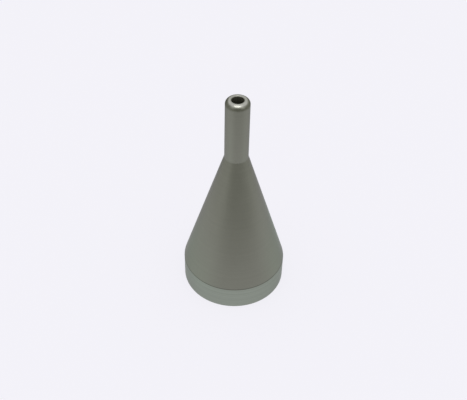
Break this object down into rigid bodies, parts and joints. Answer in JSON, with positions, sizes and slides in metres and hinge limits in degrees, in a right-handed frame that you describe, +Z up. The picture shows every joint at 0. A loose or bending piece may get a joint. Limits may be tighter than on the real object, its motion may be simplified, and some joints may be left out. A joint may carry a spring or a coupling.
{
  "type": "selective soldering nozzle",
  "caption": "Turned selective soldering nozzle: hollow cone on a cylindrical base land with a slip-on seat, straight neck and a rounded bright rim that molten solder wells over.",
  "frame": {"origin": "centre of the bottom face, on the axis", "axes": "+Z up the axis, from the seat to the outlet; X and Y are free, because the part is a body of revolution"},
  "size_m": [0.036, 0.036, 0.077],
  "materials": {
    "satin_iron": "satin grey turned iron, with a bright tinned rim"
  },
  "bodies": {
    "root": {"nozzle": "satin_iron"}
  },
  "joints": []
}
